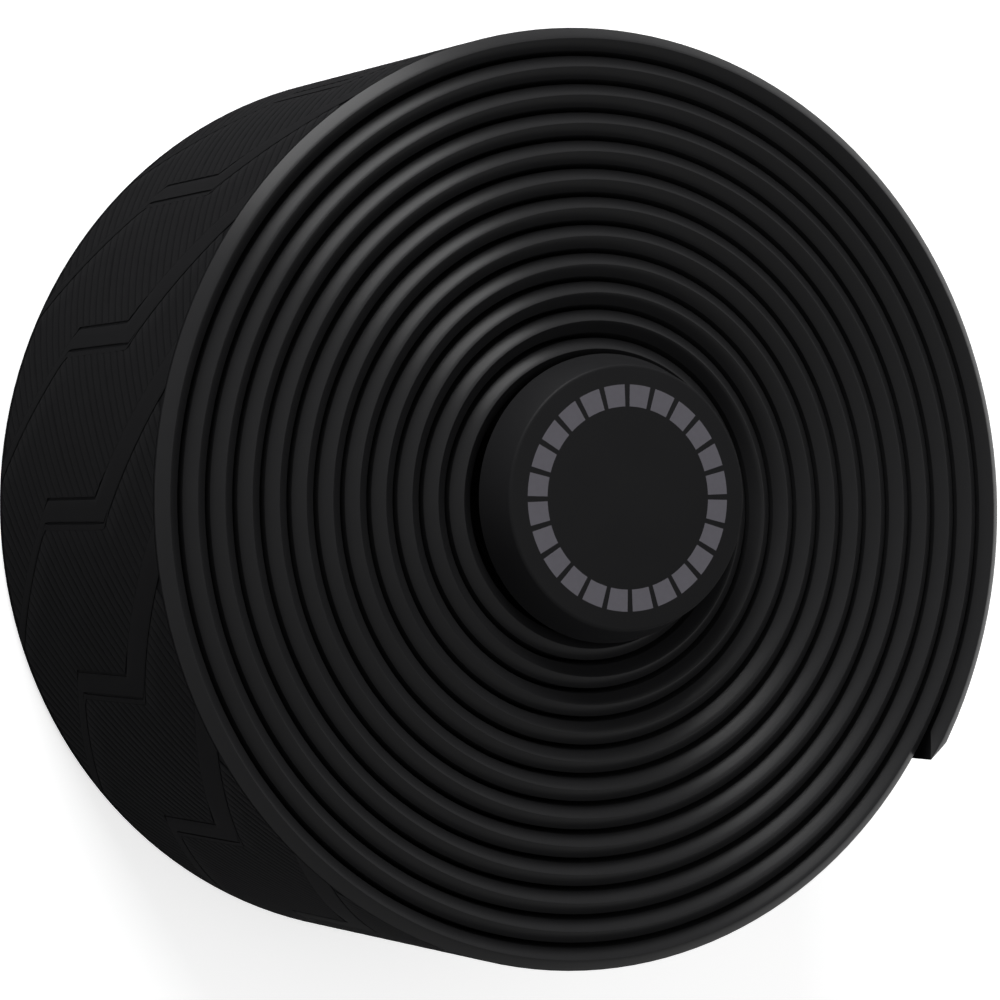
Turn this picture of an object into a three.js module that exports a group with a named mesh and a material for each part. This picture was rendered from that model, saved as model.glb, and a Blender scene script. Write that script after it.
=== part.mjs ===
// A roll of bicycle handlebar tape with the push-in plug that closes the end of the bar.
// Millimetres, +Z up. The roll stands on one edge of the tape, with the plug's cap on top.
// The origin is the middle of the roll's footprint, and the plug stands on the Z axis.

import * as THREE from 'three';

// The tape
const tapeWidth = 38.2;
const edgeThickness = 1.8; // where the bevels of the long edges start
const edgeBevelHeight = 0.82; // how far the two bevels of each long edge run across the tape
const edgeLand = 0.2; // flat left between those two bevels
const endBevelLength = 2.2; // how far the bevel of the tape's outer end runs along it
const endBevelDepth = 1.1; // how much of the thickness that bevel takes off

// The winding. The tape is crowned, so its turns touch in the middle of their width, where the roll is
// solid, and stand apart towards both edges.
const pitch = 2.367; // from turn to turn, which is also the tape's thickness in the middle
const gapDepth = 6; // how far in from each edge the turns stand apart
const wholeTurns = 12;
const outerEndAngle = THREE.MathUtils.degToRad(-34.6); // seen from above, from +X
const innerEndAngle = THREE.MathUtils.degToRad(140.2);
const facetsPerTurn = 40;

// The plug's cap
const capHeight = 3.85;
const capTopRadius = 10.75;
const capRimRadius = 12.15;
const capShoulder = 0.32; // round between the flat top and the sloping side
const capRimBevel = 0.3; // bevel at the foot of the sloping side
const capSeatGap = 0.3; // the cap rests this close to the tape's edge

// The plug's hollow stem
const stemLength = 16;
const stemRadius = 7.5;
const stemWall = 1.4;
const stemLead = 0.8; // bevel that leads the stem into the bar
const capWall = 1.9; // thickness of the cap over the stem's hollow
const finCount = 4;
const finRadius = 8.65;
const finTip = 0.5; // thickness of a fin at its tip
const finRamp = 1.6; // height of the sloping side of a fin
const finPitch = 3.4;
const firstFinDrop = 1.6; // from the cap's seat to the upper side of the first fin
const coreClearance = 0.15; // least room between a fin and the innermost turn

// How finely the plug's round faces are divided
const plugSides = 40;
const shoulderSteps = 3;

// The spiral that the tape's outer face follows, and what follows from it
const turnCount = wholeTurns + (innerEndAngle - outerEndAngle) / (2 * Math.PI);
const poleOffset = pitch / 4; // a spiral's outline is centred this far from its pole in X and in Y
const boreRadius = finRadius + poleOffset * Math.SQRT2 + coreClearance;
const outerRadius = boreRadius + edgeThickness + pitch * turnCount;
const faceRadius = (turn) => outerRadius - pitch * turn;
const endBevelTurn = endBevelLength / (2 * Math.PI * outerRadius);

// Angles of the stations in each turn, as fractions of a turn from the tape's outer end. Both ends of
// the tape and the start of its end bevel have a station, and even ones fill the rest.
function turnFractions() {
  const marks = [0, endBevelTurn];
  if (turnCount % 1 > endBevelTurn) marks.push(turnCount % 1);
  const fractions = [...marks];
  for (let facet = 0; facet < facetsPerTurn; facet += 1) {
    const fraction = facet / facetsPerTurn;
    if (marks.every((mark) => Math.abs(mark - fraction) * facetsPerTurn > 0.3)) fractions.push(fraction);
  }
  return fractions.sort((a, b) => a - b);
}

// The corners of one turn's section at a station, as [distance inwards from the outer face, height]
// points for its upper edge. The last one is the bottom of the gap between this turn and the next.
function edgeCorners(turn) {
  const landOuter = turn === 0 ? endBevelDepth : (edgeThickness - edgeLand) / 2;
  const landInner = landOuter + edgeLand;
  const bevelFoot = tapeWidth - edgeBevelHeight;
  return {
    outer: [turn === 0 ? landOuter : 0, bevelFoot],
    landOuter: [landOuter, tapeWidth],
    landInner: [landInner, tapeWidth],
    inner: [edgeThickness, bevelFoot],
    gap: [(edgeThickness + pitch) / 2, tapeWidth - gapDepth],
  };
}

// One closed surface: both edges of every turn with the gaps between them, the outer face of the first
// turn, the inner face of the last one, and the two ends of the tape.
function tapeGeometry() {
  const fractions = turnFractions();
  const perTurn = fractions.length;
  const stations = [];
  for (let turn = 0; turn <= turnCount; turn += 1) {
    stations.push(...fractions.map((fraction) => turn + fraction).filter((at) => at <= turnCount));
  }
  const last = stations.length - 1;
  const lastWithGap = last - perTurn;

  const positions = [];
  const rings = stations.map((turn) => {
    const angle = outerEndAngle + 2 * Math.PI * turn;
    const ring = { upper: {}, lower: {} };
    for (const [name, [depth, height]] of Object.entries(edgeCorners(turn))) {
      const radius = faceRadius(turn) - depth;
      for (const [side, level] of [['upper', height], ['lower', tapeWidth - height]]) {
        ring[side][name] = positions.length / 3;
        positions.push(radius * Math.cos(angle), radius * Math.sin(angle), level);
      }
    }
    return ring;
  });

  const triangles = [];
  const quad = (a, b, c, d) => triangles.push(a, b, c, a, c, d);
  for (let station = 0; station < last; station += 1) {
    const here = rings[station];
    const there = rings[station + 1];
    for (const [from, to] of [['outer', 'landOuter'], ['landOuter', 'landInner'], ['landInner', 'inner']]) {
      quad(here.upper[from], there.upper[from], there.upper[to], here.upper[to]);
      quad(here.lower[to], there.lower[to], there.lower[from], here.lower[from]);
    }
    if (station < perTurn) quad(here.lower.outer, there.lower.outer, there.upper.outer, here.upper.outer);
    if (station >= lastWithGap) quad(here.upper.inner, there.upper.inner, there.lower.inner, here.lower.inner);
  }
  for (let station = 0; station < lastWithGap; station += 1) {
    const [here, there, innerHere, innerThere] = [0, 1, perTurn, perTurn + 1].map((step) => rings[station + step]);
    quad(here.upper.inner, there.upper.inner, there.upper.gap, here.upper.gap);
    quad(here.upper.gap, there.upper.gap, innerThere.upper.outer, innerHere.upper.outer);
    quad(here.lower.gap, there.lower.gap, there.lower.inner, here.lower.inner);
    quad(innerHere.lower.outer, innerThere.lower.outer, there.lower.gap, here.lower.gap);
  }

  // Each end of the tape is a flat face, from its own section to the face of the turn that it lies on.
  // It is closed by strips that run from the lower to the upper edge.
  const close = (corners) => {
    for (let strip = 0; strip < corners.length - 1; strip += 1) {
      const [ring, name] = corners[strip];
      const [nextRing, nextName] = corners[strip + 1];
      quad(ring.lower[name], ring.upper[name], nextRing.upper[nextName], nextRing.lower[nextName]);
    }
  };
  const first = rings[0];
  const end = rings[last];
  close([[first, 'outer'], [first, 'landOuter'], [first, 'landInner'], [first, 'inner'], [first, 'gap'],
    [rings[perTurn], 'outer']]);
  close([[end, 'inner'], [end, 'landInner'], [end, 'landOuter'], [end, 'outer'], [rings[lastWithGap], 'gap'],
    [rings[lastWithGap], 'inner']]);

  const geometry = new THREE.BufferGeometry();
  geometry.setAttribute('position', new THREE.Float32BufferAttribute(positions, 3));
  geometry.setIndex(triangles);
  geometry.computeVertexNormals();
  return geometry;
}

// The plug's half section, from the middle of the cap's top round to the top of the stem's hollow.
function plugProfile() {
  const seat = tapeWidth + capSeatGap;
  const top = seat + capHeight;
  const stemEnd = seat - stemLength;
  const sideTopRadius = capTopRadius + capShoulder;
  const sideSlope = (capRimRadius - sideTopRadius) / (capHeight - capRimBevel);
  const profile = new THREE.Path();
  profile.moveTo(0, top);
  profile.lineTo(capTopRadius, top);
  profile.quadraticCurveTo(sideTopRadius, top, sideTopRadius + sideSlope * capShoulder, top - capShoulder);
  profile.lineTo(capRimRadius, seat + capRimBevel);
  profile.lineTo(capRimRadius - capRimBevel, seat);
  profile.lineTo(stemRadius, seat);
  for (let fin = 0; fin < finCount; fin += 1) {
    const finTop = seat - firstFinDrop - fin * finPitch;
    profile.lineTo(stemRadius, finTop);
    profile.lineTo(finRadius, finTop);
    profile.lineTo(finRadius, finTop - finTip);
    profile.lineTo(stemRadius, finTop - finTip - finRamp);
  }
  profile.lineTo(stemRadius, stemEnd + stemLead);
  profile.lineTo(stemRadius - stemLead, stemEnd);
  profile.lineTo(stemRadius - stemWall, stemEnd);
  profile.lineTo(stemRadius - stemWall, top - capWall);
  profile.lineTo(0, top - capWall);
  return profile.getPoints(shoulderSteps);
}

function plugGeometry() {
  return new THREE.LatheGeometry(plugProfile().reverse(), plugSides).rotateX(Math.PI / 2);
}

const tapeMaterial = new THREE.MeshStandardMaterial({ color: 0x2b2b2d, roughness: 0.62, metalness: 0 });
const plugMaterial = new THREE.MeshStandardMaterial({ color: 0x1f1f20, roughness: 0.5, metalness: 0 });

const tapeRoll = new THREE.Mesh(tapeGeometry(), tapeMaterial);
tapeRoll.name = 'tape_roll';
tapeRoll.position.set(-poleOffset, -poleOffset, 0);

const barEndPlug = new THREE.Mesh(plugGeometry(), plugMaterial);
barEndPlug.name = 'bar_end_plug';

const handlebarTapeRoll = new THREE.Group();
handlebarTapeRoll.add(tapeRoll, barEndPlug);

export default handlebarTapeRoll;
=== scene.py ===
"""A roll of bicycle handlebar tape with its bar end plug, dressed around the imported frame.

Sizes are in millimetres and turned to metres where a mesh is made. The roll stands on one edge of
the tape. Its axis is +Z, and the plug's cap is on top.
"""

import logging
import math
from dataclasses import dataclass, field
from enum import Enum

import bmesh
import bpy
import numpy as np
from mathutils import Matrix, Vector

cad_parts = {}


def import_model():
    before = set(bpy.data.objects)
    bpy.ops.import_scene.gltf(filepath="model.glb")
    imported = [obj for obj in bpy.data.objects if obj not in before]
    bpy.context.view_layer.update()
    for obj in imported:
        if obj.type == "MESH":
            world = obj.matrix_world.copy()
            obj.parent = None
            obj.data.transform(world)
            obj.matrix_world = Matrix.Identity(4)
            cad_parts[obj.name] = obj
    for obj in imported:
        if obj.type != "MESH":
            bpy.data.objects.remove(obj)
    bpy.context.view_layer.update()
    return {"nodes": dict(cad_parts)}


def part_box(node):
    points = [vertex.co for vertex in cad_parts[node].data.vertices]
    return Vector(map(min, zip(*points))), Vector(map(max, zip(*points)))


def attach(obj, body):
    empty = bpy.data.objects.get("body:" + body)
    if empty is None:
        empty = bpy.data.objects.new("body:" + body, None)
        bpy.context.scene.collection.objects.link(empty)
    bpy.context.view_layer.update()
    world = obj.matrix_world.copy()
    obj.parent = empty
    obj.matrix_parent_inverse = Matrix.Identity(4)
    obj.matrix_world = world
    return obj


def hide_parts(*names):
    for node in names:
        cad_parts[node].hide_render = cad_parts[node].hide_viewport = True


LOG = logging.getLogger("handlebar_tape_roll")
MM = 0.001
SHORTEST_EDGE = 1e-7  # in metres, for edges that a cut squeezed to nothing
SMALLEST_FACE = 1e-12  # in square metres, for faces that it flattened


def linear(hex_colour: str) -> tuple[float, float, float, float]:
    """Turns an sRGB hex colour into the linear colour that a shader takes.

    Args:
        hex_colour: Six hex digits after a hash sign.

    Returns:
        Red, green, blue and an alpha of one.
    """
    channels = [int(hex_colour[i : i + 2], 16) / 255 for i in (1, 3, 5)]
    return (*[c / 12.92 if c <= 0.04045 else ((c + 0.055) / 1.055) ** 2.4 for c in channels], 1.0)


def add_node(tree: bpy.types.NodeTree, kind: str, settings: dict | None = None, **inputs) -> bpy.types.Node:
    """Adds a node with its settings and links.

    Args:
        tree: The node tree that it goes into.
        kind: The node's type name, such as ShaderNodeBump.
        settings: Attributes of the node itself.
        **inputs: Input sockets by name, with underscores for spaces, or by number, as in i0. A value
            is a number, a colour or an output socket to link.

    Returns:
        The new node.
    """
    node = tree.nodes.new(kind)
    for name, value in (settings or {}).items():
        setattr(node, name, value)
    for name, value in inputs.items():
        key = int(name[1:]) if name[0] == "i" and name[1:].isdigit() else name.replace("_", " ")
        socket = node.inputs[key]
        if isinstance(value, bpy.types.NodeSocket):
            tree.links.new(value, socket)
        else:
            socket.default_value = value
    return node


def new_tree(name: str) -> tuple[bpy.types.Material, bpy.types.NodeTree, bpy.types.Node]:
    """Makes an empty node material.

    Args:
        name: The material's name.

    Returns:
        The material, its node tree and its output node.
    """
    material = bpy.data.materials.new(name)
    material.use_nodes = True
    material.node_tree.nodes.clear()
    return material, material.node_tree, material.node_tree.nodes.new("ShaderNodeOutputMaterial")


def millimetres(tree: bpy.types.NodeTree) -> bpy.types.NodeSocket:
    """Gives the object's own coordinates in millimetres, so that a pattern's scale is a real size.

    Args:
        tree: The node tree that reads them.

    Returns:
        The vector output.
    """
    place = add_node(tree, "ShaderNodeTexCoord")
    scaled = add_node(
        tree, "ShaderNodeVectorMath", {"operation": "SCALE"}, Vector=place.outputs["Object"], Scale=1 / MM,
    )
    return scaled.outputs["Vector"]


def seen_directly(tree: bpy.types.NodeTree) -> bpy.types.NodeSocket:
    """Tells rays that show a surface to the camera from those that light the roll.

    Args:
        tree: The node tree that asks.

    Returns:
        An output that is one for camera, glossy and transmission rays, and zero for all others.
    """
    path = add_node(tree, "ShaderNodeLightPath")
    glossy = add_node(
        tree, "ShaderNodeMath", {"operation": "MAXIMUM"},
        i0=path.outputs["Is Camera Ray"], i1=path.outputs["Is Glossy Ray"],
    )
    seen = add_node(
        tree, "ShaderNodeMath", {"operation": "MAXIMUM"},
        i0=glossy.outputs[0], i1=path.outputs["Is Transmission Ray"],
    )
    return seen.outputs[0]


@dataclass(frozen=True)
class Clouds:
    """The sizes of a cloudy noise pattern, for a finish's colour or its bump."""

    size_mm: float
    detail: float
    roughness: float


@dataclass(frozen=True)
class PolyurethaneFoam:
    """Closed-cell polyurethane foam, nearly black: embossed skin that is quite dull, or a pressed edge. Its
    lighter and darker copies paint light and shade on the tape.
    """

    name: str = "polyurethane_foam_embossed"
    dark: str = "#0f0f10"
    light: str = "#131314"
    roughness: float = 1.0  # the embossed skin's open pebble scatters light even at a grazing angle
    specular: float = 0.022
    # The skin's pebble, drawn as coarse as it needs to be to show
    grain: Clouds = Clouds(size_mm=0.22, detail=3.0, roughness=0.55)
    grain_depth_mm: float = 0.012
    mottle: Clouds = Clouds(size_mm=3.0, detail=6.0, roughness=0.65)  # foam is never quite even in colour

    @classmethod
    def pressed_and_painted_lighter(cls) -> "PolyurethaneFoam":
        """Gives the edges' finish: heat-pressed smooth, so lamps draw a soft sheen along the bevels. Its
        colour is a lighter copy of the skin's, which paints light on the turns.
        """
        return cls(
            # painted light: lighter than the skin's colour
            name="polyurethane_foam_edge_pressed_and_painted_lighter", dark="#1a1a1b", light="#1e1e1f",
            roughness=0.32, specular=0.092, grain_depth_mm=0.002,
        )

    @classmethod
    def painted_groove_shade(cls) -> "PolyurethaneFoam":
        """Gives the finish of the grip's grooves, where the skin is shadowed: a darker copy of the skin's
        foam, which paints shade there.
        """
        # painted shade: darker than the skin's colour
        return cls(name="polyurethane_foam_painted_groove_shade", dark="#0a0a0b", light="#0e0e0f")

    @classmethod
    def back_painted_lighter(cls) -> "PolyurethaneFoam":
        """Gives the finish of the back and the gaps' walls: unpressed foam with a coarser grain, in a
        lighter copy of the skin's colour that paints light into the gaps' shade.
        """
        return cls(
            # painted light: lighter than the skin's colour
            name="polyurethane_foam_back_painted_lighter", dark="#1c1c1d", light="#222223",
            grain=Clouds(size_mm=0.4, detail=3.0, roughness=0.55), grain_depth_mm=0.03,
        )

    def build(self) -> bpy.types.Material:
        """Makes the material.

        Returns:
            The material, with a mottled colour and a bump from the skin's grain.
        """
        material, tree, output = new_tree(self.name)
        place = millimetres(tree)
        mottle = add_node(
            tree, "ShaderNodeTexNoise", Vector=place, Scale=1 / self.mottle.size_mm,
            Detail=self.mottle.detail, Roughness=self.mottle.roughness,
        )
        colour = add_node(
            tree, "ShaderNodeMix", {"data_type": "RGBA"}, Factor=mottle.outputs["Fac"],
            i6=linear(self.dark), i7=linear(self.light),
        )
        grain = add_node(
            tree, "ShaderNodeTexNoise", Vector=place, Scale=1 / self.grain.size_mm,
            Detail=self.grain.detail, Roughness=self.grain.roughness,
        )
        bump = add_node(
            tree, "ShaderNodeBump",
            Height=grain.outputs["Fac"], Strength=1.0, Distance=self.grain_depth_mm * MM,
        )
        shader = add_node(
            tree, "ShaderNodeBsdfPrincipled", Base_Color=colour.outputs[2], Normal=bump.outputs["Normal"],
            Roughness=self.roughness, Specular_IOR_Level=self.specular,
        )
        tree.links.new(shader.outputs["BSDF"], output.inputs["Surface"])
        return material


@dataclass(frozen=True)
class MouldedPolypropylene:
    """Injection-moulded polypropylene from a lightly sparked mould: black with a soft satin gloss."""

    name: str = "polypropylene_satin_black"
    dark: str = "#151516"
    light: str = "#19191a"
    roughness: float = 0.48
    specular: float = 0.05
    flow: Clouds = Clouds(size_mm=5.0, detail=4.0, roughness=0.5)  # the melt cools a little unevenly
    # Texture that the sparked mould leaves, drawn coarse enough to show
    spark: Clouds = Clouds(size_mm=0.16, detail=2.0, roughness=0.5)
    spark_depth_mm: float = 0.005

    def build(self) -> bpy.types.Material:
        """Makes the material.

        Returns:
            The material, with a faint flow variation and the mould's spark texture.
        """
        material, tree, output = new_tree(self.name)
        place = millimetres(tree)
        flow = add_node(
            tree, "ShaderNodeTexNoise", Vector=place, Scale=1 / self.flow.size_mm,
            Detail=self.flow.detail, Roughness=self.flow.roughness,
        )
        colour = add_node(
            tree, "ShaderNodeMix", {"data_type": "RGBA"}, Factor=flow.outputs["Fac"],
            i6=linear(self.dark), i7=linear(self.light),
        )
        spark = add_node(
            tree, "ShaderNodeTexNoise", Vector=place, Scale=1 / self.spark.size_mm,
            Detail=self.spark.detail, Roughness=self.spark.roughness,
        )
        bump = add_node(
            tree, "ShaderNodeBump",
            Height=spark.outputs["Fac"], Strength=1.0, Distance=self.spark_depth_mm * MM,
        )
        shader = add_node(
            tree, "ShaderNodeBsdfPrincipled", Base_Color=colour.outputs[2], Normal=bump.outputs["Normal"],
            Roughness=self.roughness, Specular_IOR_Level=self.specular,
        )
        tree.links.new(shader.outputs["BSDF"], output.inputs["Surface"])
        return material


@dataclass(frozen=True)
class PadPrintInk:
    """Pad-printed ink: a thin, flat, mid-grey film with slightly uneven cover."""

    name: str = "pad_print_ink_grey"
    dark: str = "#4e4c52"
    light: str = "#56545b"
    roughness: float = 0.55
    specular: float = 0.3
    cover: Clouds = Clouds(size_mm=0.5, detail=3.0, roughness=0.6)  # the ink lies a little unevenly

    def build(self) -> bpy.types.Material:
        """Makes the material.

        Returns:
            The material, with a little variation in how well the ink covers.
        """
        material, tree, output = new_tree(self.name)
        cover = add_node(
            tree, "ShaderNodeTexNoise", Vector=millimetres(tree), Scale=1 / self.cover.size_mm,
            Detail=self.cover.detail, Roughness=self.cover.roughness,
        )
        colour = add_node(
            tree, "ShaderNodeMix", {"data_type": "RGBA"}, Factor=cover.outputs["Fac"],
            i6=linear(self.dark), i7=linear(self.light),
        )
        shader = add_node(
            tree, "ShaderNodeBsdfPrincipled", Base_Color=colour.outputs[2],
            Roughness=self.roughness, Specular_IOR_Level=self.specular,
        )
        tree.links.new(shader.outputs["BSDF"], output.inputs["Surface"])
        return material


@dataclass(frozen=True)
class WhitePaper:
    """Matt white paper under the roll. Seen directly or mirrored, it is nearly as white as the backdrop,
    apart from shade painted under the roll.
    """

    name: str = "studio_paper_white"
    colour: str = "#f4f4f4"
    seen_glow: float = 0.6  # white added for rays that show the paper
    painted_shade_radius_mm: float = 33.0  # no glow is added under the roll, which paints shade on the paper there
    painted_shade_fade_mm: float = 39.0  # and all of it is added from here outwards

    def build(self) -> bpy.types.Material:
        """Makes the material.

        Returns:
            The material. It keeps the roll's shadow, because only part of its white is added, and it paints
            shade under the roll, where none is added.
        """
        material, tree, output = new_tree(self.name)
        away = add_node(tree, "ShaderNodeVectorMath", {"operation": "LENGTH"}, i0=millimetres(tree))
        # painted shade: the glow fades to nothing under the roll, so the paper seen through its bore and
        # gaps stays dark
        glow_past_painted_shade = add_node(
            tree, "ShaderNodeMapRange", {"interpolation_type": "SMOOTHSTEP"}, Value=away.outputs["Value"],
            i1=self.painted_shade_radius_mm, i2=self.painted_shade_fade_mm, i3=0.0, i4=self.seen_glow,
        )
        strength = add_node(
            tree, "ShaderNodeMath", {"operation": "MULTIPLY"},
            i0=seen_directly(tree), i1=glow_past_painted_shade.outputs["Result"],
        )
        glow = add_node(tree, "ShaderNodeEmission", Strength=strength.outputs[0])
        paper = add_node(tree, "ShaderNodeBsdfDiffuse", Color=linear(self.colour))
        both = add_node(tree, "ShaderNodeAddShader", i0=paper.outputs[0], i1=glow.outputs[0])
        tree.links.new(both.outputs[0], output.inputs["Surface"])
        return material


@dataclass
class MeshParts:
    """Vertices in millimetres and faces that are gathered before one mesh is made of them."""

    vertices: list[np.ndarray] = field(default_factory=list)
    faces: list[tuple[int, ...]] = field(default_factory=list)
    count: int = 0

    def add_grid(self, rows: np.ndarray, closed_rows: bool = False, closed_columns: bool = False) -> int:
        """Adds a grid of quads.

        Args:
            rows: Points in an array of rows by columns by three.
            closed_rows: Whether the last row joins the first.
            closed_columns: Whether the last column joins the first.

        Returns:
            The number of the grid's first vertex.
        """
        height, width = rows.shape[:2]
        start = self.count
        self.vertices.append(rows.reshape(-1, 3))
        self.count += height * width
        for row in range(height if closed_rows else height - 1):
            here = start + row * width
            there = start + (row + 1) % height * width
            for column in range(width if closed_columns else width - 1):
                after = (column + 1) % width
                self.faces.append((here + column, here + after, there + after, there + column))
        return start

    def make(self, name: str, *materials: bpy.types.Material, sharp_deg: float = 32.0) -> bpy.types.Object:
        """Makes one smooth-shaded object of all that was added, less the faces that a cut squeezed flat.

        Args:
            name: The object's name.
            *materials: Its materials. All faces take the first.
            sharp_deg: Edges that turn more than this stay sharp.

        Returns:
            The object, linked into the scene.
        """
        mesh = bpy.data.meshes.new(name)
        mesh.from_pydata((np.concatenate(self.vertices) * MM).tolist(), [], self.faces)
        mesh.validate()
        clean = bmesh.new()
        clean.from_mesh(mesh)
        bmesh.ops.dissolve_degenerate(clean, dist=SHORTEST_EDGE, edges=clean.edges[:])
        squeezed = [face for face in clean.faces if face.calc_area() < SMALLEST_FACE]
        bmesh.ops.delete(clean, geom=squeezed, context="FACES")
        clean.to_mesh(mesh)
        clean.free()
        mesh.polygons.foreach_set("use_smooth", [True] * len(mesh.polygons))
        mesh.set_sharp_from_angle(angle=math.radians(sharp_deg))
        for material in materials:
            mesh.materials.append(material)
        made = bpy.data.objects.new(name, mesh)
        bpy.context.scene.collection.objects.link(made)
        LOG.info("%s: %d faces", name, len(mesh.polygons))
        return made


def rounded(corners: list[tuple[float, float, float]], steps: int = 3) -> np.ndarray:
    """Rounds the corners of an open outline.

    Args:
        corners: Points as x, y and how far from the corner its round starts.
        steps: Pieces in each round.

    Returns:
        The outline's points.
    """
    outline = []
    for index, (x, y, reach) in enumerate(corners):
        corner = np.array([x, y])
        if reach == 0 or index in (0, len(corners) - 1):
            outline.append(corner)
            continue
        before, after = (np.array(corners[index + side][:2]) - corner for side in (-1, 1))
        start = corner + before / np.linalg.norm(before) * reach
        end = corner + after / np.linalg.norm(after) * reach
        for share in np.linspace(0, 1, steps + 1):
            outline.append((1 - share) ** 2 * start + 2 * share * (1 - share) * corner + share**2 * end)
    return np.array(outline)


@dataclass(frozen=True)
class Winding:
    """The flat spiral that the tape follows, seen from the plug's side."""

    width: float
    outer_radius: float = 40.990  # from the pole to the outer face at the tape's outer end
    pitch: float = 2.367
    turns: float = 12.4856
    outer_end_deg: float = -34.6
    facet_sag: float = 0.008

    @property
    def pole(self) -> float:
        """The pole's place in X and in Y: the spiral's outline is centred on the origin."""
        return -self.pitch / 4

    def length_at(self, turn: float) -> float:
        """Length along the outer face from the tape's outer end to a turn."""
        return math.pi * turn * (2 * self.outer_radius - self.pitch * turn)

    def turn_at(self, length: np.ndarray) -> np.ndarray:
        """Turns from the tape's outer end at a length along the outer face."""
        reached = np.sqrt(self.outer_radius**2 - self.pitch * length / math.pi)
        return (self.outer_radius - reached) / self.pitch

    def place(self, turn: np.ndarray, depth: np.ndarray, across: np.ndarray) -> np.ndarray:
        """Gives points on the wound tape.

        Args:
            turn: Turns from the outer end.
            depth: Distance inwards from the outer face.
            across: Distance from the edge on the plug's side.

        Returns:
            The points, in the row frame.
        """
        angle = math.radians(self.outer_end_deg) + 2 * math.pi * turn
        radius = self.outer_radius - self.pitch * turn - depth
        x = radius * np.cos(angle) + self.pole
        y = radius * np.sin(angle) + self.pole
        return np.stack(np.broadcast_arrays(x, y, self.width - across), axis=-1)

    def stations(self) -> np.ndarray:
        """Turns at which the tape's section is placed, closer together where the spiral is wide."""
        turns = [0.0]
        while turns[-1] < self.turns:
            radius = self.outer_radius - self.pitch * turns[-1]
            turns.append(turns[-1] + math.acos(1 - self.facet_sag / radius) / math.pi)
        return np.array(turns) * self.turns / turns[-1]


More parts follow.
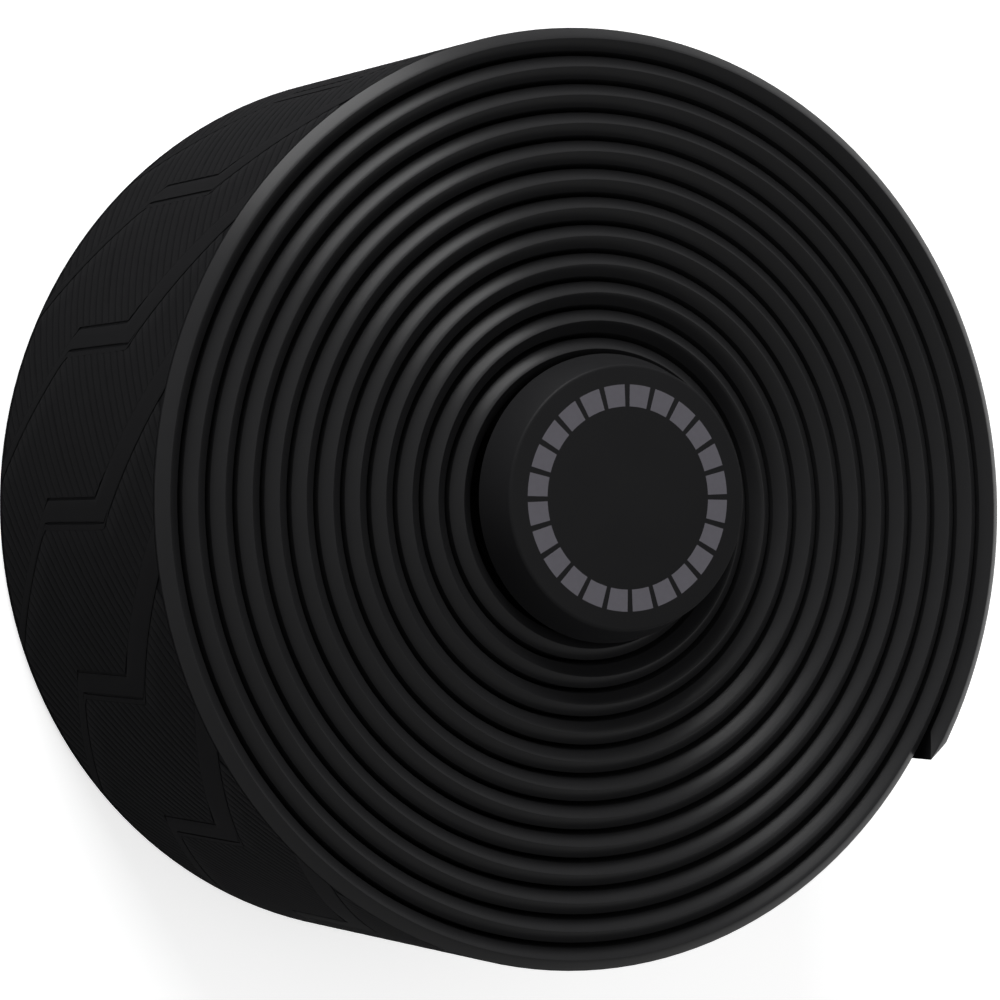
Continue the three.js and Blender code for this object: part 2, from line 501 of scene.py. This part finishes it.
@dataclass
class Tape:
    """The wound tape: its bevelled section swept along the spiral, and the grip on its outer turn."""

    winding: Winding
    skin: PolyurethaneFoam
    # painted light: the edges' foam is a lighter copy of the skin's
    edge: PolyurethaneFoam
    # painted light: the back and the gaps' walls are a lighter copy of the skin's foam
    back: PolyurethaneFoam
    # painted shade: the grip's grooves are a darker copy of the skin's foam
    painted_groove_shade: PolyurethaneFoam
    # The long edges and the gaps between the turns
    edge_thickness: float = 1.92
    bevel: float = 0.82  # how far the bevels of an edge run across the tape
    bevel_bulge: float = 0.03
    bevel_steps: int = 4
    ridge_half_width: float = 0.025
    ridge_drop: float = 0.01  # from the ridge down to where a bevel ends beside it
    gap_depth: float = 6.0
    wall_stops: tuple[float, ...] = (0.3, 0.65, 1.0)  # points down a gap's wall, as shares of its depth
    turn_clearance: float = 0.02  # between two turns in the middle of the width
    crown_fade: float = 0.05  # turns over which the crown fades, where no turn lies inside any more
    # The outer end of the tape
    end_bevel: float = 2.4
    end_bevel_depth: float = 1.1
    tip_share: float = 0.03  # what is left of the section at the very end
    # The sunk panel under the grip
    relief: float = 0.1  # height of the embossed grip
    margin: float = 0.35  # plain strip between a bevel and the grip
    panel_rim: float = 0.12  # how far the panel reaches past the grip
    panel_slope: float = 0.05  # run of its sides
    panel_end: float = 1.02  # turns from the outer end to where it ends
    # The grip's bands. Places across the tape count from the plug's side.
    band_pitch: float = 15.0
    first_band: float = -0.25
    band_width: float = 2.04  # in its straight middle
    band_bends: tuple[float, float] = (14.07, 25.3)  # where its first side bends into the slants
    band_far_bends: tuple[float, float] = (12.2, 26.05)  # where its second side does
    lip_stops: tuple[float, ...] = (11.4, 12.6, 26.0, 27.0)
    lip_widths: tuple[float, ...] = (0.3, 0.62, 0.62, 0.3)
    lip_share: float = 0.7  # depth of the lip, as a share of the depth of the band's edge
    blend_stops: tuple[float, ...] = (11.7, 12.7, 25.3, 26.3)  # from slant to straight, and back
    groove: float = 0.2  # beside a band's straight middle
    slant_groove: float = -0.1  # beside its slants, where the ribs and the lip run on under its edges
    straight_step: float = 0.03  # from the ribs down to the straight middle's edge
    slant_step: float = 0.012  # and down to a slant's edge
    band_slope: float = 0.2  # run of the soft slope on a band's first side
    edge_slope: float = 0.03  # run of the steep side below that
    bar_slope: float = 0.05  # run of the band's other side and of the lip's sides
    band_step: float = 1.6
    sink: float = 0.03  # how far all bars reach into the panel
    # The ribs between the bands
    ribs_per_band: int = 10
    rib_shift: float = 0.45
    rib_sides: tuple[float, ...] = (0, 0.004, 0.12, 0.25, 0.5, 0.75, 0.88, 0.996, 1)  # shares of the pitch
    rib_valley: float = 0.055  # how deep the valleys between ribs are
    painted_shade_depth: float = 0.028  # from how deep the grip's faces take the painted shade of the grooves
    rib_end: float = 0.05  # how soon a rib reaches its height beside a band
    rib_root: float = 0.3  # and how soon it does so where it comes out from under a band's lip
    rib_step: float = 2.0
    rib_samples: int = 400  # places at which the bands' sides are read to cut the ribs
    shortest_rib: float = 0.9
    # Where the finishes, and the light and shade painted with them, change
    pressed_rim: float = 0.05  # how far the pressed finish, painted lighter, runs past the bevels
    face_depth: float = 0.2  # what is less deep than this belongs to the outer face

    def section(self, crown: float, panel: float) -> np.ndarray:
        """Gives the closed outline of the tape's section.

        Args:
            crown: How far the inner face swells beyond the edge's thickness, in the middle.
            panel: How deep the outer face is sunk under the grip.

        Returns:
            Points as distance inwards from the outer face and distance across from the plug's side.
        """
        middle = self.edge_thickness / 2
        bulge = np.array([-1, -1]) * self.bevel_bulge
        outer_bevel = [
            (1 - s) ** 2 * np.array([0, self.bevel])
            + 2 * s * (1 - s) * (np.array([middle / 2, self.bevel / 2]) + bulge)
            + s**2 * np.array([middle - self.ridge_half_width, self.ridge_drop])
            for s in np.linspace(0, 1, self.bevel_steps + 1)
        ]
        edge = np.array([*outer_bevel, [middle, 0.0]])
        inner = edge[-2::-1] * [-1, 1] + [self.edge_thickness, 0]
        wall = [
            [self.edge_thickness + crown * s * (2 - s), self.bevel + (self.gap_depth - self.bevel) * s]
            for s in self.wall_stops
        ]
        width = self.winding.width
        near = np.concatenate([edge, inner, wall])
        far = near[::-1] * [1, -1] + [0, width]
        rim = self.bevel + self.margin - self.panel_rim
        foot = rim + self.panel_slope
        face = [[0, width - rim], [panel, width - foot], [panel, foot], [0, rim]]
        return np.concatenate([near, far, face])

    def add_body(self, parts: MeshParts) -> None:
        """Sweeps the section along the whole spiral, with a bevel at the tape's outer end.

        Args:
            parts: Where the faces are gathered.
        """
        winding = self.winding
        bevel_turn = float(winding.turn_at(self.end_bevel))
        turns = winding.stations()
        clear_of_bevel = turns > bevel_turn * 1.5  # so that no station is close to the bevel's last one
        turns = [0, bevel_turn / 3, bevel_turn * 2 / 3, bevel_turn, *turns[clear_of_bevel]]
        full_crown = winding.pitch - self.edge_thickness - self.turn_clearance
        fade_start = winding.turns - 1 - self.crown_fade
        rows = []
        for turn in turns:
            faded = max(0.0, turn - fade_start) / self.crown_fade
            crown = full_crown * max(0.0, 1 - faded)
            panel = self.relief if bevel_turn < turn < self.panel_end else 0.0
            section = self.section(crown, panel)
            grown = min(1.0, max(turn / bevel_turn, self.tip_share))
            section[:, 0] = self.end_bevel_depth + (section[:, 0] - self.end_bevel_depth) * grown
            from_edge = np.minimum(section[:, 1], winding.width - section[:, 1])
            section[:, 1] += np.where(section[:, 1] < winding.width / 2, -1, 1) * np.where(
                from_edge <= self.bevel, from_edge * (1 - grown), 0.0
            )
            rows.append(winding.place(turn, section[:, 0], section[:, 1]))
        rows = np.array(rows[::-1])  # from the inner end on, so that the faces point out of the tape
        start = parts.add_grid(rows, closed_columns=True)
        width = rows.shape[1]
        last = start + (len(rows) - 1) * width
        parts.faces.append(tuple(range(start + width - 1, start - 1, -1)))
        parts.faces.append(tuple(range(last, last + width)))

    def band_edges(self, across: np.ndarray) -> tuple[np.ndarray, np.ndarray, np.ndarray]:
        """Gives how a band's three lines run along the tape as they cross it.

        Args:
            across: Distances across the tape, from the plug's side.

        Returns:
            Places along the tape of the band's first side, its second side and its lip's side.
        """
        def zigzag(bends: tuple[float, float], straight: float) -> np.ndarray:
            """Runs square across the tape between two bends, and at 45 degrees past them."""
            return straight + np.minimum(across - bends[0], 0) + np.maximum(across - bends[1], 0)

        first = zigzag(self.band_bends, 0)
        second = zigzag(self.band_far_bends, self.band_width)
        lip = second + np.interp(across, self.lip_stops, self.lip_widths)
        return first, second, lip

    def along_band(self, across: np.ndarray, straight: float, slanted: float) -> np.ndarray:
        """Blends a size from its value on a band's straight middle to that on its slants."""
        return np.interp(across, self.blend_stops, [slanted, straight, straight, slanted])

    def groove_beside(self, across: np.ndarray) -> np.ndarray:
        """Widths of the groove beside a band at distances across the tape."""
        return self.along_band(across, self.groove, self.slant_groove)

    def add_bar(
        self, parts: MeshParts, along: np.ndarray, across: np.ndarray, depth: np.ndarray, blunt: bool,
    ) -> None:
        """Adds one raised bar of the grip, open on the underside, where it stands on the tape.

        The bar is cut off at the bevel of the tape's outer end, and where that end covers the next turn.

        Args:
            parts: Where the faces are gathered.
            along: Places along the tape, as stations by points over the bar.
            across: Distances across the tape, in the same order.
            depth: Distances inwards from the tape's outer face, in the same order.
            blunt: Whether it ends at its full height, and so needs a face at both ends.
        """
        begin = self.end_bevel + self.margin
        end = self.winding.length_at(1.0) + self.end_bevel
        if along.max() <= begin or along.min() >= end:
            return
        turn = self.winding.turn_at(np.clip(along, begin, end))
        start = parts.add_grid(self.winding.place(turn, depth, across)[::-1])
        if blunt:
            rows, columns = along.shape
            parts.faces.append(tuple(range(start + columns - 1, start - 1, -1)))
            parts.faces.append(tuple(range(start + (rows - 1) * columns, start + rows * columns)))

    def add_bands(self, parts: MeshParts, shift: float) -> None:
        """Adds one band and its lip.

        Args:
            parts: Where the faces are gathered.
            shift: Where the band stands along the tape.
        """
        low = self.bevel + self.margin
        high = self.winding.width - low
        bends = [*self.band_bends, *self.band_far_bends, self.lip_stops[-1]]
        stops = np.unique([*np.arange(low, high, self.band_step), *bends, high])
        first, second, lip = self.band_edges(stops)
        half = self.groove_beside(stops) / 2
        foot = np.full_like(stops, self.relief + self.sink)
        edge = self.along_band(stops, self.straight_step, self.slant_step)
        top = np.zeros_like(stops)
        begin = first + half + self.band_slope
        end = second - half - self.bar_slope
        thirds = [(begin + (end - begin) * share, top) for share in (1 / 3, 2 / 3)]  # to follow the round
        band = [
            (first + half, foot), (first + half + self.edge_slope, edge), (begin, top), *thirds,
            (end, top), (second - half, foot),
        ]
        strip = [
            (second + half, foot), (second + half + self.bar_slope, edge * self.lip_share),
            (lip - self.bar_slope, edge * self.lip_share), (lip, foot),
        ]
        for bar in (band, strip):
            along = np.stack([place for place, _ in bar], axis=1) + shift
            depth = np.stack([level for _, level in bar], axis=1)
            self.add_bar(parts, along, np.tile(stops[:, None], (1, len(bar))), depth, blunt=True)

    def add_ribs(self, parts: MeshParts, shift: float) -> None:
        """Adds the ribs between one band and the next. They run at 45 degrees, square to the bands' slants.

        Args:
            parts: Where the faces are gathered.
            shift: Where the first of the two bands stands along the tape.
        """
        low = self.bevel + self.margin
        high = self.winding.width - low
        across = np.linspace(low, high, self.rib_samples)
        first, _, lip = self.band_edges(across)
        enter = across + first + self.band_pitch - self.groove_beside(across) / 2
        leave = across + lip - self.rib_root
        pitch = self.band_pitch / self.ribs_per_band
        sides = np.array(self.rib_sides)
        crest = self.rib_valley * (2 * np.abs(sides - 0.5)) ** 3
        crest[[0, -1]] = self.relief + self.sink
        for rib in range(math.floor(leave[0] / pitch) - 1, math.ceil(enter[-1] / pitch)):
            lines = (rib + sides) * pitch + self.rib_shift
            starts = np.interp(lines, enter, across)
            length = np.interp(lines, leave, across) - starts
            if length.min() < self.shortest_rib:
                continue
            even = np.linspace(0, 1, 2 + int(length.mean() / self.rib_step))[1:-1]
            shares = np.stack([
                np.zeros_like(length), self.rib_end / length,
                *[np.full_like(length, share) for share in even],
                1 - self.rib_root / length, np.ones_like(length),
            ])
            shares = np.clip(shares, shares[1] * (shares > 0), None)
            place = starts + shares * length
            depth = np.tile(crest, (len(shares), 1))
            depth[[0, -1]] = self.relief + self.sink
            self.add_bar(parts, lines - place + shift, place, depth, blunt=False)

    def dress_faces(self, mesh: bpy.types.Mesh) -> None:
        """Gives each face its finish by its place: pressed edge painted lighter, embossed skin, back
        painted lighter, or the grooves' painted shade.

        Args:
            mesh: The tape's mesh, whose materials are the edge's, the skin's, the back's and the grooves'
                painted shade.
        """
        centres = np.empty(len(mesh.polygons) * 3)
        mesh.polygons.foreach_get("center", centres)
        x, y, z = centres.reshape(-1, 3).T / MM
        x, y = x - self.winding.pole, y - self.winding.pole
        turn = (np.arctan2(y, x) - math.radians(self.winding.outer_end_deg)) / (2 * math.pi) % 1.0
        depth = self.winding.outer_radius - self.winding.pitch * turn - np.hypot(x, y)
        under_end = (turn < self.panel_end - 1) & (depth > self.winding.pitch / 2)
        depth[under_end] -= self.winding.pitch  # the second turn's start, which the outer end covers
        low = self.bevel + self.pressed_rim
        wall = (z > low) & (z < self.winding.width - low)
        skin = wall & (depth < self.face_depth)
        grip = (z > low + self.margin) & (z < self.winding.width - low - self.margin)
        # painted shade: the grip's deeper faces, in its valleys and grooves, take a darker copy of the foam
        painted_groove_shade = skin & grip & (depth > self.painted_shade_depth)
        # 0 is the edge and 2 the back, both painted lighter; 3 is the grooves' painted shade
        finish = np.select([painted_groove_shade, skin, wall], [3, 1, 2], 0)
        mesh.polygons.foreach_set("material_index", finish.astype(np.int32))

    def build(self) -> bpy.types.Object:
        """Makes the wound tape.

        Returns:
            The tape as one object.
        """
        parts = MeshParts()
        self.add_body(parts)
        bands = int(self.winding.length_at(1.0) / self.band_pitch)
        for band in range(-2, bands + 3):  # the slants of bands past both ends reach in
            shift = self.first_band + band * self.band_pitch
            self.add_bands(parts, shift)
            self.add_ribs(parts, shift)
        tape = parts.make(
            "handlebar_tape", self.edge.build(), self.skin.build(), self.back.build(), self.painted_groove_shade.build(),
            sharp_deg=20.0,
        )
        self.dress_faces(tape.data)
        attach(tape, "root")
        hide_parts("tape_roll")
        return tape


@dataclass
class Plug:
    """The bar end plug: a cap over a hollow stem with four soft fins, and the print on the cap."""

    finish: MouldedPolypropylene
    ink: PadPrintInk
    rim_radius: float
    top: float
    stem_end: float
    cap_height: float = 3.85
    top_radius: float = 10.83
    shoulder: float = 0.24
    rim_bevel: float = 0.3
    stem_radius: float = 7.5
    stem_wall: float = 1.4
    stem_lead: float = 0.8
    cap_wall: float = 1.9
    fin_count: int = 4
    fin_radius: float = 8.65
    fin_tip: float = 0.5
    fin_ramp: float = 1.6
    fin_pitch: float = 3.4
    first_fin_drop: float = 1.6
    segments: int = 192
    # How far its rounds reach from each corner
    edge_round: float = 0.12
    rim_round: float = 0.08
    seat_round: float = 0.15
    mouth_round: float = 0.1
    hollow_round: float = 0.4
    # The print
    print_outer: float = 9.43
    print_inner: float = 7.6
    print_marks: int = 24
    print_gap: float = 0.45
    print_film: float = 0.012
    print_sink: float = 0.02  # how far the marks' sides reach into the cap
    mark_steps: int = 6

    def profile(self) -> np.ndarray:
        """Gives the plug's half section, from the middle of the cap's top round to the stem's hollow.

        Returns:
            Points as radius and height.
        """
        seat = self.top - self.cap_height
        side_top = self.top_radius + self.shoulder
        corners = [
            (0, self.top, 0), (side_top, self.top, self.shoulder),
            (self.rim_radius, seat + self.rim_bevel, self.rim_round),
            (self.rim_radius - self.rim_bevel, seat, self.rim_round),
            (self.stem_radius, seat, self.seat_round),
        ]
        for fin in range(self.fin_count):
            fin_top = seat - self.first_fin_drop - fin * self.fin_pitch
            corners += [
                (self.stem_radius, fin_top, self.edge_round), (self.fin_radius, fin_top, self.edge_round),
                (self.fin_radius, fin_top - self.fin_tip, self.edge_round),
                (self.stem_radius, fin_top - self.fin_tip - self.fin_ramp, self.edge_round),
            ]
        hollow = self.stem_radius - self.stem_wall
        corners += [
            (self.stem_radius, self.stem_end + self.stem_lead, self.edge_round),
            (self.stem_radius - self.stem_lead, self.stem_end, self.edge_round),
            (hollow, self.stem_end, self.mouth_round),
            (hollow, self.top - self.cap_wall, self.hollow_round), (0, self.top - self.cap_wall, 0),
        ]
        return rounded(corners)

    def add_print(self, parts: MeshParts) -> None:
        """Adds the print on the cap: a ring of even marks, as on a dial.

        Args:
            parts: Where the faces are gathered.
        """
        section = [
            (self.print_inner, -self.print_sink), (self.print_inner, self.print_film),
            (self.print_outer, self.print_film), (self.print_outer, -self.print_sink),
        ]
        corners = len(section)
        spacing = 2 * math.pi / self.print_marks
        trim = self.print_gap / (self.print_outer + self.print_inner)
        for mark in range(self.print_marks):
            angles = np.linspace(mark * spacing + trim, (mark + 1) * spacing - trim, self.mark_steps + 1)
            rows = np.array([
                [(r * math.cos(a), r * math.sin(a), self.top + z) for r, z in section] for a in angles
            ])
            start = parts.add_grid(rows)
            last = start + self.mark_steps * corners
            parts.faces.append(tuple(range(start + corners - 1, start - 1, -1)))
            parts.faces.append(tuple(range(last, last + corners)))

    def build(self) -> bpy.types.Object:
        """Makes the plug and its print.

        Returns:
            The plug. The print is a separate object on the same body.
        """
        profile = self.profile()
        angles = np.linspace(0, 2 * math.pi, self.segments, endpoint=False)
        ring = profile[1:-1]
        rows = np.stack([
            np.outer(np.cos(angles), ring[:, 0]), np.outer(np.sin(angles), ring[:, 0]),
            np.tile(ring[:, 1], (self.segments, 1)),
        ], axis=-1)
        parts = MeshParts()
        start = parts.add_grid(rows, closed_rows=True)
        columns = len(ring)
        for end, at in ((0, profile[0]), (columns - 1, profile[-1])):
            centre = parts.count
            parts.vertices.append(np.array([[0.0, 0.0, at[1]]]))
            parts.count += 1
            for side in range(self.segments):
                here = start + side * columns + end
                there = start + (side + 1) % self.segments * columns + end
                parts.faces.append((centre, here, there) if end == 0 else (centre, there, here))
        plug = parts.make("bar_end_plug_moulding", self.finish.build())
        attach(plug, "root")
        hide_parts("bar_end_plug")

        film = MeshParts()
        self.add_print(film)
        printed = film.make("cap_print", self.ink.build())
        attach(printed, "root")
        return plug


class Side(Enum):
    """Where a lamp stands, as a direction from the roll in the row frame."""

    ABOVE_LEFT = (-0.27, 0.925, 0.23)
    FRONT = (0.10, -0.10, 0.98)


@dataclass(frozen=True)
class SoftBox:
    """A square area lamp that faces the roll."""

    name: str
    side: Side
    distance: float
    size: float
    watts: float

    def build(self, target: Vector) -> bpy.types.Object:
        """Places the lamp.

        Args:
            target: The point that it faces, in metres.

        Returns:
            The lamp.
        """
        data = bpy.data.lights.new(self.name, "AREA")
        data.size = self.size
        data.energy = self.watts
        lamp = bpy.data.objects.new(self.name, data)
        direction = Vector(self.side.value).normalized()
        lamp.location = target + direction * self.distance
        lamp.rotation_euler = direction.to_track_quat("Z", "Y").to_euler()
        bpy.context.scene.collection.objects.link(lamp)
        return lamp


@dataclass(frozen=True)
class PhotoCamera:
    """The camera at the photograph's place. Its rest direction is straight down the roll's axis."""

    place: tuple[float, float, float] = (-152.03, -1.24, 317.33)
    yaw_deg: float = -26.991
    pitch_deg: float = 0.221
    roll_deg: float = -0.745
    lens: float = 136.3
    sensor: float = 36.0
    clip_start: float = 0.01

    def build(self) -> bpy.types.Object:
        """Makes the camera and gives it to the scene.

        Returns:
            The camera.
        """
        data = bpy.data.cameras.new("photo_camera")
        data.lens = self.lens
        data.sensor_width = self.sensor
        data.clip_start = self.clip_start
        camera = bpy.data.objects.new("photo_camera", data)
        turned = (
            Matrix.Rotation(math.radians(self.yaw_deg), 4, "Y")
            @ Matrix.Rotation(math.radians(self.pitch_deg), 4, "X")
            @ Matrix.Rotation(math.radians(self.roll_deg), 4, "Z")
        )
        camera.matrix_world = Matrix.Translation(Vector(self.place) * MM) @ turned
        bpy.context.scene.collection.objects.link(camera)
        bpy.context.scene.camera = camera
        return camera


@dataclass
class Studio:
    """A sheet of white paper under the roll, soft lamps and an even pale surround."""

    floor_size: float = 4.0
    aim_height: float = 0.02  # where the lamps aim, about half way up the roll
    surround: float = 0.33  # the surround's light on the roll and the paper
    lamps: tuple[SoftBox, ...] = (
        SoftBox("key_softbox", Side.ABOVE_LEFT, distance=0.9, size=0.52, watts=13.3),
        SoftBox("front_softbox", Side.FRONT, distance=1.2, size=0.9, watts=2.1),
    )

    def build(self) -> None:
        """Makes the paper, the lamps and the surround."""
        half = self.floor_size / 2
        mesh = bpy.data.meshes.new("paper_floor")
        corners = [(-half, -half, 0), (half, -half, 0), (half, half, 0), (-half, half, 0)]
        mesh.from_pydata(corners, [], [(0, 1, 2, 3)])
        mesh.materials.append(WhitePaper().build())
        floor = bpy.data.objects.new("paper_floor", mesh)
        bpy.context.scene.collection.objects.link(floor)

        target = Vector((0, 0, self.aim_height))
        for lamp in self.lamps:
            lamp.build(target)

        world = bpy.data.worlds.new("studio_surround")
        world.use_nodes = True
        tree = world.node_tree
        tree.nodes.clear()
        output = tree.nodes.new("ShaderNodeOutputWorld")
        strength = add_node(tree, "ShaderNodeMix", Factor=seen_directly(tree), A=self.surround, B=1.0)
        glow = add_node(
            tree, "ShaderNodeBackground", Color=(1.0, 1.0, 1.0, 1.0), Strength=strength.outputs[0],
        )
        tree.links.new(glow.outputs[0], output.inputs["Surface"])
        bpy.context.scene.world = world


def main() -> None:
    """Builds the scene around the frame."""
    logging.basicConfig(level=logging.INFO, format="%(message)s")
    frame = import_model()
    LOG.info("frame: %s", ", ".join(frame["nodes"]))
    PhotoCamera().build()
    bpy.context.scene.view_settings.view_transform = "Standard"

    tape_low, tape_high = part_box("tape_roll")
    plug_low, plug_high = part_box("bar_end_plug")
    winding = Winding(width=(tape_high[2] - tape_low[2]) / MM)
    Tape(
        winding,
        skin=PolyurethaneFoam(),
        edge=PolyurethaneFoam.pressed_and_painted_lighter(),
        back=PolyurethaneFoam.back_painted_lighter(),
        painted_groove_shade=PolyurethaneFoam.painted_groove_shade(),
    ).build()
    Plug(
        MouldedPolypropylene(), PadPrintInk(),
        rim_radius=plug_high[0] / MM, top=plug_high[2] / MM, stem_end=plug_low[2] / MM,
    ).build()
    Studio().build()


if __name__ == "__main__":
    main()
